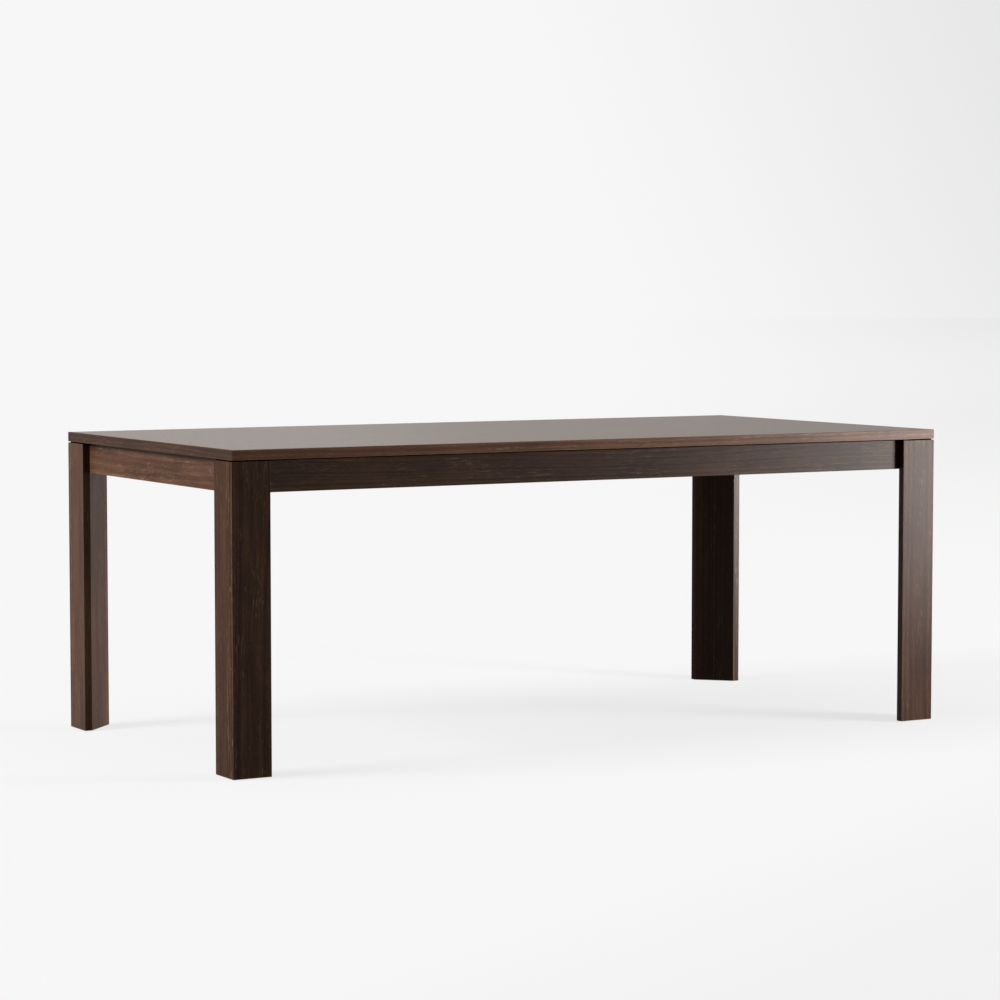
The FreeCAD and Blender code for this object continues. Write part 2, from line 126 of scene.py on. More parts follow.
class Graph:
    """The node tree of one material or world, and short ways to add nodes to it."""

    def __init__(self, tree: bpy.types.NodeTree) -> None:
        """Empties the tree and keeps it."""
        self.tree = tree
        self.tree.nodes.clear()

    def node(
        self,
        kind: str,
        settings: Optional[dict[str, Any]] = None,
        inputs: Optional[Inputs] = None,
        output: Union[int, str] = 0,
    ) -> Sock:
        """Adds a node of any type.

        Args:
            kind: the node's Blender type.
            settings: its properties, set first; "stops" are a colour ramp's (place, colour) pairs.
            inputs: a value or a link for each input socket, by name or number.
            output: the output socket to return, by name or number.

        Returns:
            The chosen output socket.
        """
        made = self.tree.nodes.new(kind)
        for name, value in (settings or {}).items():
            if name == "stops":
                self._set_stops(made.color_ramp, value)
            else:
                setattr(made, name, value)
        for key, value in (inputs or {}).items():
            if isinstance(value, Sock):
                self.tree.links.new(value.socket, made.inputs[key])
            else:
                made.inputs[key].default_value = value
        return Sock(self, made.outputs[output])

    @staticmethod
    def _set_stops(ramp: bpy.types.ColorRamp, stops: Sequence[tuple[float, Colour]]) -> None:
        """Gives a colour ramp its stops.

        Args:
            ramp: the ramp, which starts with two stops.
            stops: place from 0 to 1 and colour of each stop, in order.
        """
        while len(ramp.elements) < len(stops):
            ramp.elements.new(0.5)
        for element, (place, colour) in zip(ramp.elements, stops):
            element.position = place
            element.color = (*colour, 1.0)

    def math(self, operation: str, *terms: Term) -> Sock:
        """Adds a Math node on numbers or sockets."""
        return self.node("ShaderNodeMath", {"operation": operation}, dict(enumerate(terms)))

    def vector(self, operation: str, *terms: Value, output: str = "Vector") -> Sock:
        """Adds a Vector Math node on one or two vectors."""
        settings = {"operation": operation}
        return self.node("ShaderNodeVectorMath", settings, dict(enumerate(terms)), output)

    def length(self, vector: Sock) -> Sock:
        """The length of a vector."""
        return self.vector("LENGTH", vector, output="Value")

    def dot(self, a: Value, b: Value) -> Sock:
        """The dot product of two vectors."""
        return self.vector("DOT_PRODUCT", a, b, output="Value")

    def between(self, low: float, high: float, x: Sock) -> Sock:
        """A smooth step: 0 where x is under low, 1 where it is over high."""
        settings = {"interpolation_type": "SMOOTHSTEP"}
        return self.node("ShaderNodeMapRange", settings, {"Value": x, 1: low, 2: high})

    def mix(self, share: Term, a: Value, b: Value, blend: str = "MIX") -> Sock:
        """Colour a turned into colour b.

        Args:
            share: how far it is turned, from 0 to 1.
            a: the first colour.
            b: the second colour.
            blend: the way that the colours are put together.

        Returns:
            The mixed colour.
        """
        settings = {"data_type": "RGBA", "blend_type": blend}
        first, second = (v if isinstance(v, Sock) else (*v, 1.0) for v in (a, b))
        # The Mix node numbers its colour sockets 6 and 7, and its colour output 2
        return self.node("ShaderNodeMix", settings, {0: share, 6: first, 7: second}, 2)

    def noise(self, place: Sock, stretch: Triple, detail: float = 2.0, rough: float = 0.5) -> Sock:
        """Noise from 0 to 1.

        Args:
            place: the point that it is read at.
            stretch: patches per metre along each axis of the place.
            detail: finer octaves on top of the first.
            rough: the strength of each octave beside the one before.

        Returns:
            The noise value.
        """
        scaled = self.vector("MULTIPLY", place, stretch)
        inputs = {"Vector": scaled, "Scale": 1.0, "Detail": detail, "Roughness": rough}
        return self.node("ShaderNodeTexNoise", {}, inputs, "Fac")

    def split(self, place: Sock) -> list[Sock]:
        """The three parts of a vector."""
        parts = self.node("ShaderNodeSeparateXYZ", {}, {0: place})
        return [Sock(self, out) for out in parts.socket.node.outputs]

    def join(self, parts: Sequence[Term]) -> Sock:
        """A vector from three parts."""
        return self.node("ShaderNodeCombineXYZ", {}, dict(enumerate(parts)))

    def grey(self, level: Sock) -> Sock:
        """The grey colour of a brightness."""
        return self.node("ShaderNodeCombineColor", {}, {0: level, 1: level, 2: level})

    def object_place(self) -> Sock:
        """The shaded point in the piece's own coordinates, which are the CAD frame."""
        return self.node("ShaderNodeTexCoord", output="Object")

    def bump(self, height: Sock, distance: float) -> Sock:
        """A surface normal tilted by a height from 0 to 1 that stands for a distance in metres."""
        return self.node("ShaderNodeBump", {}, {"Height": height, "Distance": distance})

    def surface(self, shader: Sock, end: str = "ShaderNodeOutputMaterial") -> None:
        """Ends the graph in a shader, by the end node of a material or of a world."""
        self.tree.links.new(shader.socket, self.tree.nodes.new(end).inputs["Surface"])

    def principled(self, inputs: Inputs) -> None:
        """Ends the graph in a Principled shader with these values and links of its sockets."""
        self.surface(self.node("ShaderNodeBsdfPrincipled", {}, inputs))


def new_material(name: str) -> tuple[bpy.types.Material, Graph]:
    """A new material and its empty graph.

    Args:
        name: the material's name.

    Returns:
        The material and its graph.
    """
    material = bpy.data.materials.new(name)
    material.use_nodes = True
    return material, Graph(material.node_tree)


# Finishes


class Grain(Enum):
    """The way the grain runs. The value is the order of the axes: two across, then along."""

    ALONG_X = (1, 2, 0)
    ALONG_Y = (2, 0, 1)
    ALONG_Z = (0, 1, 2)

    @classmethod
    def of_side(cls, side: str) -> "Grain":
        """The way along one side of the table."""
        return cls.ALONG_X if side in ("front", "back") else cls.ALONG_Y


def inwards(part: Sock, low: float, high: float) -> Sock:
    """How far one part of a place lies in from the nearer of two planes, in metres."""
    return (high - low) / 2 - abs(part - (high + low) / 2)


class EdgeField(ABC):
    """Tells a shader how far a point of a piece lies from the piece's sharp edges and planes."""

    @abstractmethod
    def distance(self, graph: Graph, place: Sock) -> Sock:
        """The distance in metres from the place to the nearest edge."""

    @abstractmethod
    def y_planes(self) -> Pair:
        """Where the piece's front and back planes lie on the Y axis."""

    def y_faces(self, graph: Graph, place: Sock) -> Sock:
        """1 on the piece's front and back faces, and 0 away from them."""
        inside = inwards(graph.split(place)[1], *self.y_planes())
        return 1.0 - graph.between(*SKIN, inside)


@dataclass(frozen=True)
class SlabEdges(EdgeField):
    """The twelve edges of a box: the middle one of the distances to its three pairs of faces."""

    low: Triple
    high: Triple

    def distance(self, graph: Graph, place: Sock) -> Sock:
        """The middle one of the three face distances, which is the distance along the surface.

        Args:
            graph: the material's graph.
            place: a point on the box.

        Returns:
            The distance to the nearest edge.
        """
        gaps = [inwards(*axis) for axis in zip(graph.split(place), self.low, self.high)]
        least = graph.math("MINIMUM", gaps[0], gaps[1])
        most = graph.math("MAXIMUM", gaps[0], gaps[1])
        return graph.math("MAXIMUM", least, graph.math("MINIMUM", most, gaps[2]))

    def y_planes(self) -> Pair:
        """The box's own front and back."""
        return self.low[1], self.high[1]


@dataclass(frozen=True)
class PostEdges(EdgeField):
    """The upright edges of a five-sided post, and the rims of its two ends."""

    upright: tuple[Pair, ...]
    foot: float
    head: float

    def distance(self, graph: Graph, place: Sock) -> Sock:
        """The least of the distances to the upright edges and to the end planes.

        Args:
            graph: the material's graph.
            place: a point on the post.

        Returns:
            The distance to the nearest edge.
        """
        across, deep, height = graph.split(place)
        nearest = inwards(height, self.foot, self.head)
        for x, y in self.upright:
            flat = graph.join((across - x, deep - y, 0.0))
            nearest = graph.math("MINIMUM", nearest, graph.length(flat))
        return nearest

    def y_planes(self) -> Pair:
        """The least and the greatest Y of the upright edges."""
        places = [y for _, y in self.upright]
        return min(places), max(places)


@dataclass(frozen=True)
class Look:
    """How one board differs from its neighbours, each value beside 1 for a plain board.

    Its tone scales its colour, its gloss its lacquer, its gold makes it less red, its figure is
    the strength of its grain, and its fibre how coarse the grain is. Its y_faces scale how light
    and how glossy its faces square to the Y axis are beside its other faces: painted shade where
    they are under 1, and painted light where they are over 1.
    """

    tone: float = 1.0
    gloss: float = 1.0
    gold: float = 1.0
    figure: float = 1.0
    fibre: float = 1.0
    y_faces: Pair = (1.0, 1.0)


@dataclass(frozen=True)
class Board:
    """The wood of one CAD node: how its grain runs, and its own look.

    Its pattern is placed by its centre, which is the middle of the node's box if none is given.
    The tree's heart runs along the grain, this far from the centre. From a given height up it is
    painted black without lacquer: painted shade for the shadow gap under the top.
    """

    node: str
    grain: Grain
    seed: int
    look: Look = Look()
    heart: Pair = (110 * MM, 70 * MM)
    edges: Optional[EdgeField] = None
    # painted shade: the height from which the board is painted black without lacquer
    painted_shade_from: Optional[float] = None
    centre: Optional[Triple] = None

    def fibres(self, patches: Triple) -> Triple:
        """Patches per metre, fewer across the grain on a coarse board."""
        return patches[0] / self.look.fibre, patches[1] / self.look.fibre, patches[2]


@dataclass(frozen=True)
class WoodFinish:
    """Wood with rings, streaks, flecks and pores along its grain, under a thin lacquer.

    The tone of a point is the sum of its growth ring, streak and cloud, each a noise stretched
    along the grain. Rings are a noise of the distance from the tree's heart, which is bent by a
    slow noise, so that they run out in long points on the faces as they do on sawn boards.
    A triple for slow, wavy, streaks, clouds, flecks, crowds, pores, rubs or bare counts patches
    per metre: twice across the grain, then along it.
    """

    dark: Colour
    middle: Colour
    light: Colour
    fleck: Colour
    pore: Colour
    worn: Colour
    # painted shade: the near-black colour and its fade that stand for the shade in the shadow gap
    # under the top
    painted_gap_shade: Colour = (0.004, 0.003, 0.002)
    painted_gap_shade_fade: float = 0.2 * MM
    stops: Triple = (0.26, 0.5, 0.76)
    seed_shift: float = 3.71
    ring_spacing: float = 5.5 * MM
    sweep: float = 50 * MM
    wave: float = 2.4 * MM
    slow: Triple = (7.0, 7.0, 1.1)
    wavy: Triple = (30.0, 30.0, 16.0)
    streaks: Triple = (330.0, 330.0, 9.0)
    clouds: Triple = (14.0, 14.0, 4.0)
    flecks: Triple = (430.0, 430.0, 38.0)
    crowds: Triple = (26.0, 26.0, 10.0)
    pores: Triple = (1300.0, 1300.0, 60.0)
    rubs: Triple = (60.0, 60.0, 14.0)
    bare: Triple = (45.0, 45.0, 12.0)
    rub_width: Pair = (0.6 * MM, 3.6 * MM)
    fleck_step: Pair = (0.58, 0.74)
    pore_step: Pair = (0.56, 0.70)
    bare_step: Pair = (0.70, 0.80)
    ring_share: float = 0.8
    streak_share: float = 0.684
    cloud_share: float = 0.54
    fleck_share: float = 0.8
    pore_share: float = 0.45
    sheen: float = 0.28
    sheen_roughness: float = 0.345
    roughness: float = 0.62
    gloss_under: float = 0.0
    pore_dulls: float = 0.3
    wear_dulls: float = 0.35
    tone_roughens: float = 0.1
    wear_roughens: float = 0.08
    relief: float = 0.05 * MM
    streak_height: float = 0.35
    fleck_height: float = 0.2
    pore_depth: float = 0.8
    wear: float = 0.4

    def dress(self, board: Board) -> None:
        """Puts the finish on the board's CAD node."""
        dress(board.node, self.material(board))

    def material(self, board: Board) -> bpy.types.Material:
        """The finish as a material for one board.

        Args:
            board: the piece it goes on.

        Returns:
            The new material.
        """
        material, g = new_material(board.node + "_finish")
        place = g.object_place()
        local = self._along_grain(g, board, place)
        tone, ring, streak = self._tone(g, board, local)
        fleck = self._flecks(g, board, local, ring)
        pore = self._pores(g, board, local)
        wear = self._wear(g, board, place, local)
        stops = list(zip(self.stops, (self.dark, self.middle, self.light)))
        colour = g.node("ShaderNodeValToRGB", {"stops": stops}, {0: tone})
        look = board.look
        colour = g.mix(fleck * min(self.fleck_share * look.figure, 1.0), colour, self.fleck)
        colour = g.mix(pore * self.pore_share, colour, self.pore)
        colour = g.mix(wear * self.wear, colour, self.worn)
        shade = (look.tone, look.tone * look.gold, look.tone * look.gold**2)
        colour = g.mix(1.0, colour, shade, "MULTIPLY")
        sheen = (1.0 - pore * self.pore_dulls) * (1.0 - wear * self.wear_dulls)
        sheen = sheen * (self.sheen * look.gloss)
        # Painted shade and light: the front and back faces get their own lightness and sheen,
        # darker or lighter than the board's other faces.
        if board.edges and look.y_faces != Look.y_faces:
            apart = board.edges.y_faces(g, place)
            light, glossy = look.y_faces
            colour = g.mix(apart, colour, (light, light, light), "MULTIPLY")
            sheen = sheen * (1.0 + apart * (glossy - 1.0))
        # Painted shade: above the board's given height the wood turns near-black and loses its
        # lacquer sheen, standing for the shade in the shadow gap under the top.
        if board.painted_shade_from is not None:
            height = g.split(place)[2]
            black = g.between(board.painted_shade_from - self.painted_gap_shade_fade, board.painted_shade_from, height)
            colour = g.mix(black, colour, self.painted_gap_shade)
            sheen = sheen * (1.0 - black)
        relief = streak * self.streak_height + fleck * self.fleck_height - pore * self.pore_depth
        rough = self.roughness + (tone - 0.5) * self.tone_roughens + wear * self.wear_roughens
        g.principled(
            {
                "Base Color": colour,
                "Roughness": rough,
                "Specular IOR Level": self.gloss_under,
                "Coat Weight": sheen,
                "Coat Roughness": self.sheen_roughness,
                "Normal": g.bump(relief + 0.5, self.relief),
            }
        )
        return material

    def _along_grain(self, g: Graph, board: Board, place: Sock) -> Sock:
        """The point in the board's own axes, two across and one along, shifted by its seed.

        Args:
            g: the material's graph.
            board: the piece, for its centre and the way of its grain.
            place: the point in the CAD frame.

        Returns:
            The point along the grain.
        """
        centre = board.centre or middle(board.node)
        parts = g.split(g.vector("SUBTRACT", place, centre))
        first, second, along = (parts[i] for i in board.grain.value)
        return g.join((first, second, along + board.seed * self.seed_shift))

    def _tone(self, g: Graph, board: Board, local: Sock) -> tuple[Sock, Sock, Sock]:
        """The tone from 0 to 1, and the growth rings and streaks in it.

        Args:
            g: the material's graph.
            board: the piece, for where its heart lies.
            local: the point along the grain.

        Returns:
            The tone, the ring noise and the streak noise.
        """
        slow = g.noise(local, self.slow, 1.0) - 0.5
        wavy = g.noise(local, self.wavy) - 0.5
        bend = slow * self.sweep + wavy * self.wave
        first, second, along = g.split(local)
        bent = g.join((first + bend, second + bend * 0.6, along))
        from_heart = g.join((first + bend - board.heart[0], second - board.heart[1], 0.0))
        radius = g.length(from_heart)
        inputs = {"W": radius / self.ring_spacing + board.seed, "Scale": 1.0, "Detail": 2.0}
        ring = g.node("ShaderNodeTexNoise", {"noise_dimensions": "1D"}, inputs, "Fac")
        streak = g.noise(bent, board.fibres(self.streaks), 3.0, 0.62)
        figure = board.look.figure
        tone = 0.5 + (ring - 0.5) * (self.ring_share * figure)
        tone = tone + (streak - 0.5) * (self.streak_share * figure)
        tone = tone + (g.noise(local, self.clouds) - 0.5) * self.cloud_share
        return tone, ring, streak

    def _flecks(self, g: Graph, board: Board, local: Sock, ring: Sock) -> Sock:
        """Short light fibres, which crowd in some rings and patches.

        They are the highest part of a noise drawn out along the grain, raised by ring and crowd.

        Args:
            g: the material's graph.
            board: the piece, for how coarse its fibres are.
            local: the point along the grain.
            ring: the ring noise.

        Returns:
            The share of fleck from 0 to 1.
        """
        fibre = g.noise(local, board.fibres(self.flecks), 3.0, 0.6)
        crowd = g.noise(local, self.crowds, 1.0)
        return g.between(*self.fleck_step, fibre + (crowd - 0.5) * 0.35 + (ring - 0.5) * 0.2)

    def _pores(self, g: Graph, board: Board, local: Sock) -> Sock:
        """Fine dark pores: the highest part of a finer noise drawn out along the grain."""
        return g.between(*self.pore_step, g.noise(local, board.fibres(self.pores), 1.0))

    def _wear(self, g: Graph, board: Board, place: Sock, local: Sock) -> Sock:
        """Where the stain is rubbed thin.

        That is close to an edge, and unevenly along it, or here and there if no edge is known.

        Args:
            g: the material's graph.
            board: the piece, for its edges.
            place: the point in the CAD frame.
            local: the point along the grain.

        Returns:
            The wear from 0 to 1.
        """
        if board.edges is None:
            return g.between(*self.bare_step, g.noise(local, self.bare))
        near = 1.0 - g.between(*self.rub_width, board.edges.distance(g, place))
        uneven = g.between(0.35, 0.65, g.noise(local, self.rubs))
        return near * (0.35 + uneven * 0.65)


class PlainFinish(ABC):
    """A finish that is the same on each piece that has it."""

    def material(self, name: str) -> bpy.types.Material:
        """The finish as a material.

        Args:
            name: the material's name.

        Returns:
            The new material.
        """
        material, g = new_material(name)
        g.principled(self.inputs(g, g.object_place()))
        return material

    @abstractmethod
    def inputs(self, g: Graph, place: Sock) -> Inputs:
        """The values and links of the shader's sockets, from a point in the CAD frame."""


@dataclass(frozen=True)
class BoardCoreFinish(PlainFinish):
    """Pressed wood fibres: fine pale and dark specks with no direction."""

    pale: Colour = (0.60, 0.45, 0.29)
    brown: Colour = (0.36, 0.25, 0.15)

    def inputs(self, g: Graph, place: Sock) -> Inputs:
        """Specks and clouds, which are noises with no direction, turn brown into pale.

        Args:
            g: the material's graph.
            place: the point in the CAD frame.

        Returns:
            The values and links of the shader's sockets.
        """
        speck = g.noise(place, (900.0,) * 3, 3.0, 0.7)
        cloud = g.noise(place, (40.0,) * 3, 2.0)
        share = g.between(0.35, 0.68, speck * 0.75 + cloud * 0.25)
        return {
            "Base Color": g.mix(share, self.brown, self.pale),
            "Roughness": 0.75 + speck * 0.2,
            "Specular IOR Level": 0.2,
            "Normal": g.bump(speck, 0.05 * MM),
        }


@dataclass(frozen=True)
class ZincPlateFinish(PlainFinish):
    """Bright zinc plate on steel: blue and straw clouds, fine turning marks and dull spots."""

    blue: Colour = (0.56, 0.59, 0.63)
    straw: Colour = (0.66, 0.63, 0.54)
    dull: Colour = (0.42, 0.42, 0.41)

    def inputs(self, g: Graph, place: Sock) -> Inputs:
        """Clouds turn blue into straw, spots dull it, and marks ring an upright rod.

        Args:
            g: the material's graph.
            place: the point in the CAD frame.

        Returns:
            The values and links of the shader's sockets.
        """
        cloud = g.noise(place, (160.0,) * 3, 2.0)
        marks = g.noise(place, (700.0, 700.0, 5200.0), 1.0)
        spots = g.between(0.6, 0.75, g.noise(place, (420.0,) * 3, 2.0))
        colour = g.mix(g.between(0.35, 0.65, cloud), self.blue, self.straw)
        return {
            "Base Color": g.mix(spots * 0.5, colour, self.dull),
            "Metallic": 1.0,
            "Roughness": 0.24 + marks * 0.12 + spots * 0.2,
            "Normal": g.bump(marks, 0.01 * MM),
        }


@dataclass(frozen=True)
class NylonFinish(PlainFinish):
    """Black moulded nylon: a fine matt grain, and grey scuffs low down, near the floor."""

    black: Colour = (0.022, 0.022, 0.023)
    scuffed: Colour = (0.11, 0.11, 0.105)
    scuff_height: float = 2.5 * MM

    def inputs(self, g: Graph, place: Sock) -> Inputs:
        """Scratches turn black into grey, the more the lower they are.

        Args:
            g: the material's graph.
            place: the point in the CAD frame.

        Returns:
            The values and links of the shader's sockets.
        """
        grain = g.noise(place, (2400.0,) * 3, 1.0)
        scratches = g.noise(place, (500.0, 500.0, 1800.0), 2.0)
        low = 1.0 - g.between(0.0, self.scuff_height, g.split(place)[2])
        scuff = low * g.between(0.45, 0.65, scratches)
        return {
            "Base Color": g.mix(scuff, self.black, self.scuffed),
            "Roughness": 0.48 + grain * 0.15 + scuff * 0.2,
            "Normal": g.bump(grain, 0.02 * MM),
        }


STAINED = WoodFinish(
    dark=(0.035, 0.014, 0.0075),
    middle=(0.069, 0.028, 0.0145),
    light=(0.108, 0.053, 0.027),
    fleck=(0.215, 0.130, 0.068),
    pore=(0.020, 0.009, 0.005),
    worn=(0.180, 0.104, 0.055),
)
FLAT_SAWN = replace(STAINED, wave=4.8 * MM, cloud_share=0.81)
VENEER = WoodFinish(
    dark=(0.130, 0.066, 0.034),
    middle=(0.215, 0.116, 0.062),
    light=(0.290, 0.168, 0.095),
    fleck=(0.400, 0.260, 0.150),
    pore=(0.090, 0.045, 0.024),
    worn=(0.380, 0.230, 0.130),
    sheen=0.65,
    sheen_roughness=0.28,
    ring_share=0.48,
    streak_share=0.396,
    cloud_share=0.27,
    fleck_share=0.2,
    relief=0.02 * MM,
)
SEALED = WoodFinish(
    dark=(0.30, 0.19, 0.10),
    middle=(0.44, 0.30, 0.17),
    light=(0.56, 0.41, 0.25),
    fleck=(0.62, 0.47, 0.30),
    pore=(0.20, 0.12, 0.06),
    worn=(0.60, 0.46, 0.30),
    sheen=0.2,
    sheen_roughness=0.4,
)
BEECH = replace(
    SEALED,
    dark=(0.50, 0.33, 0.19),
    middle=(0.62, 0.44, 0.27),
    light=(0.70, 0.53, 0.35),
    fleck=(0.42, 0.26, 0.14),
    ring_share=0.4,
    sheen=0.05,
)


# Helpers on pieces


def dress(node: str, material: bpy.types.Material) -> None:
    """Puts a material on every material slot of a CAD node.

    Args:
        node: the node's name.
        material: its new finish.
    """
    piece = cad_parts[node]
    if not piece.material_slots:
        piece.data.materials.append(material)
    for slot in piece.material_slots:
        slot.material = material
    LOG.info("dressed %s", node)


def middle(node: str) -> Triple:
    """The centre of a CAD node's box."""
    low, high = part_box(node)
    return tuple((low + high) / 2)


def slab(node: str) -> SlabEdges:
    """The edges of a CAD node's box."""
    low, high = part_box(node)
    return SlabEdges(tuple(low), tuple(high))


def placed(name: str, data: bpy.types.ID) -> bpy.types.Object:
    """Puts a mesh, a lamp or a camera into the scene.

    Args:
        name: the object's name.
        data: what it shows.

    Returns:
        The new object, at the origin.
    """
    made = bpy.data.objects.new(name, data)
    bpy.context.scene.collection.objects.link(made)
    return made


def grid_mesh(name: str, grids: Sequence[np.ndarray], closed: bool) -> bpy.types.Object:
    """Makes one object from surfaces that are each rings of points.

    Neighbouring rings are joined by four-sided faces. An open surface gets a point in the middle
    of its first and last ring, with a fan of faces round it; a closed one joins last to first.

    Args:
        name: the object's name.
        grids: for each surface, its points as an array of rings by points by three.
        closed: whether the rings themselves close to a loop, as on a nut.

    Returns:
        The new object, at the origin.
    """
    points, faces, start = [], [], 0
    for rings in grids:
        rows, around, _ = rings.shape
        index = start + np.arange(rows * around).reshape(rows, around)
        upper = np.roll(index, -1, axis=0) if closed else index[1:]
        lower = index if closed else index[:-1]
        right_low, right_up = np.roll(lower, -1, axis=1), np.roll(upper, -1, axis=1)
        quads = np.stack([lower, right_low, right_up, upper], axis=-1).reshape(-1, 4)
        faces += quads.tolist()
        points.append(rings.reshape(-1, 3))
        start += rows * around
        if not closed:
            points.append(np.stack([rings[0].mean(axis=0), rings[-1].mean(axis=0)]))
            first, last = index[0], index[-1]
            fan_low = np.stack([np.roll(first, -1), first, np.full(around, start)], axis=-1)
            fan_up = np.stack([last, np.roll(last, -1), np.full(around, start + 1)], axis=-1)
            faces += fan_low.tolist() + fan_up.tolist()
            start += 2
    mesh = bpy.data.meshes.new(name)
    mesh.from_pydata(np.concatenate(points).tolist(), [], faces)
    mesh.shade_smooth()
    mesh.set_sharp_from_angle(angle=CREASE)
    return placed(name, mesh)


def angles(count: int) -> np.ndarray:
    """Even steps round a full turn, in radians."""
    return np.linspace(0.0, 2.0 * np.pi, count, endpoint=False)


def turned(radius: np.ndarray, height: np.ndarray, base: Vector, axis: Vector) -> np.ndarray:
    """Rings of points about an axis, from a radius for each height and angle.

    The point at angle a and height h is base + h * axis + radius * (cos a * side + sin a * other),
    where side and other are square to the axis.

    Args:
        radius: the radii, an array of rows by angles, in metres.
        height: the height of each row along the axis, in metres.
        base: the point at height 0.
        axis: the unit direction of the axis.

    Returns:
        The points, as an array of rows by angles by three.
    """
    side = axis.orthogonal().normalized()
    other = axis.cross(side)
    angle = angles(radius.shape[1])
    ring = np.cos(angle)[:, None] * np.array(side) + np.sin(angle)[:, None] * np.array(other)
    along = np.array(base) + height[:, None] * np.array(axis)
    return along[:, None, :] + radius[:, :, None] * ring[None, :, :]


def coned_hexagon(across_flats: float, from_face: np.ndarray, around: int) -> np.ndarray:
    """A hexagon with its corners turned off: the lesser of its radius and that of a cone.

    The hexagon's radius is half its width over the cosine of the angle from a flat. The cone's
    is half the end face's width, plus the distance from that face over the chamfer's tangent.

    Args:
        across_flats: the hexagon's width, in metres.
        from_face: the distance of each row from the nearer end face, in metres.
        around: how many angles.

    Returns:
        Radii as an array of rows by angles.
    """
    from_flat = (angles(around) + math.pi / 6) % (math.pi / 3) - math.pi / 6
    flats = across_flats / 2 / np.cos(from_flat)
    cone = across_flats / 2 * NUT_FACE + from_face / math.tan(NUT_CHAMFER)
    return np.minimum(flats[None, :], cone[:, None])


@dataclass(frozen=True)
class Thread:
    """A screw thread: a triangular ridge that winds round a rod, one pitch a turn."""

    radius: float
    pitch: float
    depth: float
    steepness: float = 1.15

    def radii(self, height: np.ndarray, around: int) -> np.ndarray:
        """The rod's radius for each height and angle.

        With f the distance along the ridge's cycle, height / pitch - angle / a full turn, the
        radius is the outer one less the depth times a triangle wave of f. The wave is made
        steeper and then cut off at 1, which makes the root flat.

        Args:
            height: the rows' heights along the rod, in metres.
            around: how many angles.

        Returns:
            Radii as an array of rows by angles.
        """
        turn = np.arange(around) / around
        cycle = height[:, None] / self.pitch - turn[None, :]
        wave = np.abs(2.0 * (cycle % 1.0) - 1.0)
        return self.radius - self.depth * np.clip(wave * self.steepness, 0.0, 1.0)

    def rod(
        self, low: float, high: float, chamfer: float, rows: int, around: int
    ) -> tuple[np.ndarray, np.ndarray]:
        """A threaded rod, which narrows at its far end as fast as it rises.

        Args:
            low: where the thread starts along the rod, in metres.
            high: where it ends.
            chamfer: how far before the end it starts to narrow.
            rows: how many rows to a turn of the thread.
            around: how many angles.

        Returns:
            The rows' heights, and their radii as an array of rows by angles.
        """
        height = np.linspace(low, high, rows * round((high - low) / self.pitch))
        cone = self.radius - np.clip(height - (high - chamfer), 0.0, None)
        return height, np.minimum(self.radii(height, around), cone[:, None])


WOOD_THREAD = Thread(4 * MM, 3 * MM, 1 * MM)
MACHINE_THREAD = Thread(4 * MM, 1.25 * MM, 0.62 * MM)


def stand_in(piece: bpy.types.Object, node: str, body: str, steel: bpy.types.Material) -> None:
    """Lets a modelled steel piece take the place of a plain CAD node.

    Args:
        piece: the modelled piece.
        node: the CAD node that it replaces.
        body: the body that it moves with.
        steel: its finish.
    """
    piece.data.materials.append(steel)
    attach(piece, body)
    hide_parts(node)
    LOG.info("built %s, %d faces", piece.name, len(piece.data.polygons))


# The sub-assemblies


@dataclass
class TableTop:
    """The top: a core board with a veneer on each face and a solid lipping along each edge."""

    lipping: dict[str, Look] = field(
        default_factory=lambda: {
            "front": Look(1.69, 1.09, 1.025, 0.45),
            "back": Look(1.1, 1.15),
            "left": Look(0.91, 1.15, figure=0.65),
            "right": Look(1.05, 1.15),
        }
    )
    veneer: Look = Look(0.53)
    lipping_heart: Pair = (30 * MM, 50 * MM)
    lipping_seed: int = 4

    def dress(self) -> None:
        """Gives each layer and lipping its finish."""
        low, high = cad_box
        rim = SlabEdges((low.x, low.y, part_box("lipping_front")[0].z), tuple(high))
        for seed, node in enumerate(("top_face_veneer", "top_backing_veneer")):
            VENEER.dress(Board(node, Grain.ALONG_X, seed, self.veneer))
        for seed, (side, look) in enumerate(self.lipping.items(), self.lipping_seed):
            grain = Grain.of_side(side)
            STAINED.dress(Board("lipping_" + side, grain, seed, look, self.lipping_heart, rim))
        dress("top_core", BoardCoreFinish().material("top_core_finish"))


def gap_bottom(gap_height: float = 3 * MM) -> float:
    """The height at which the shadow gap under the top begins."""
    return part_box("lipping_front")[0].z - gap_height


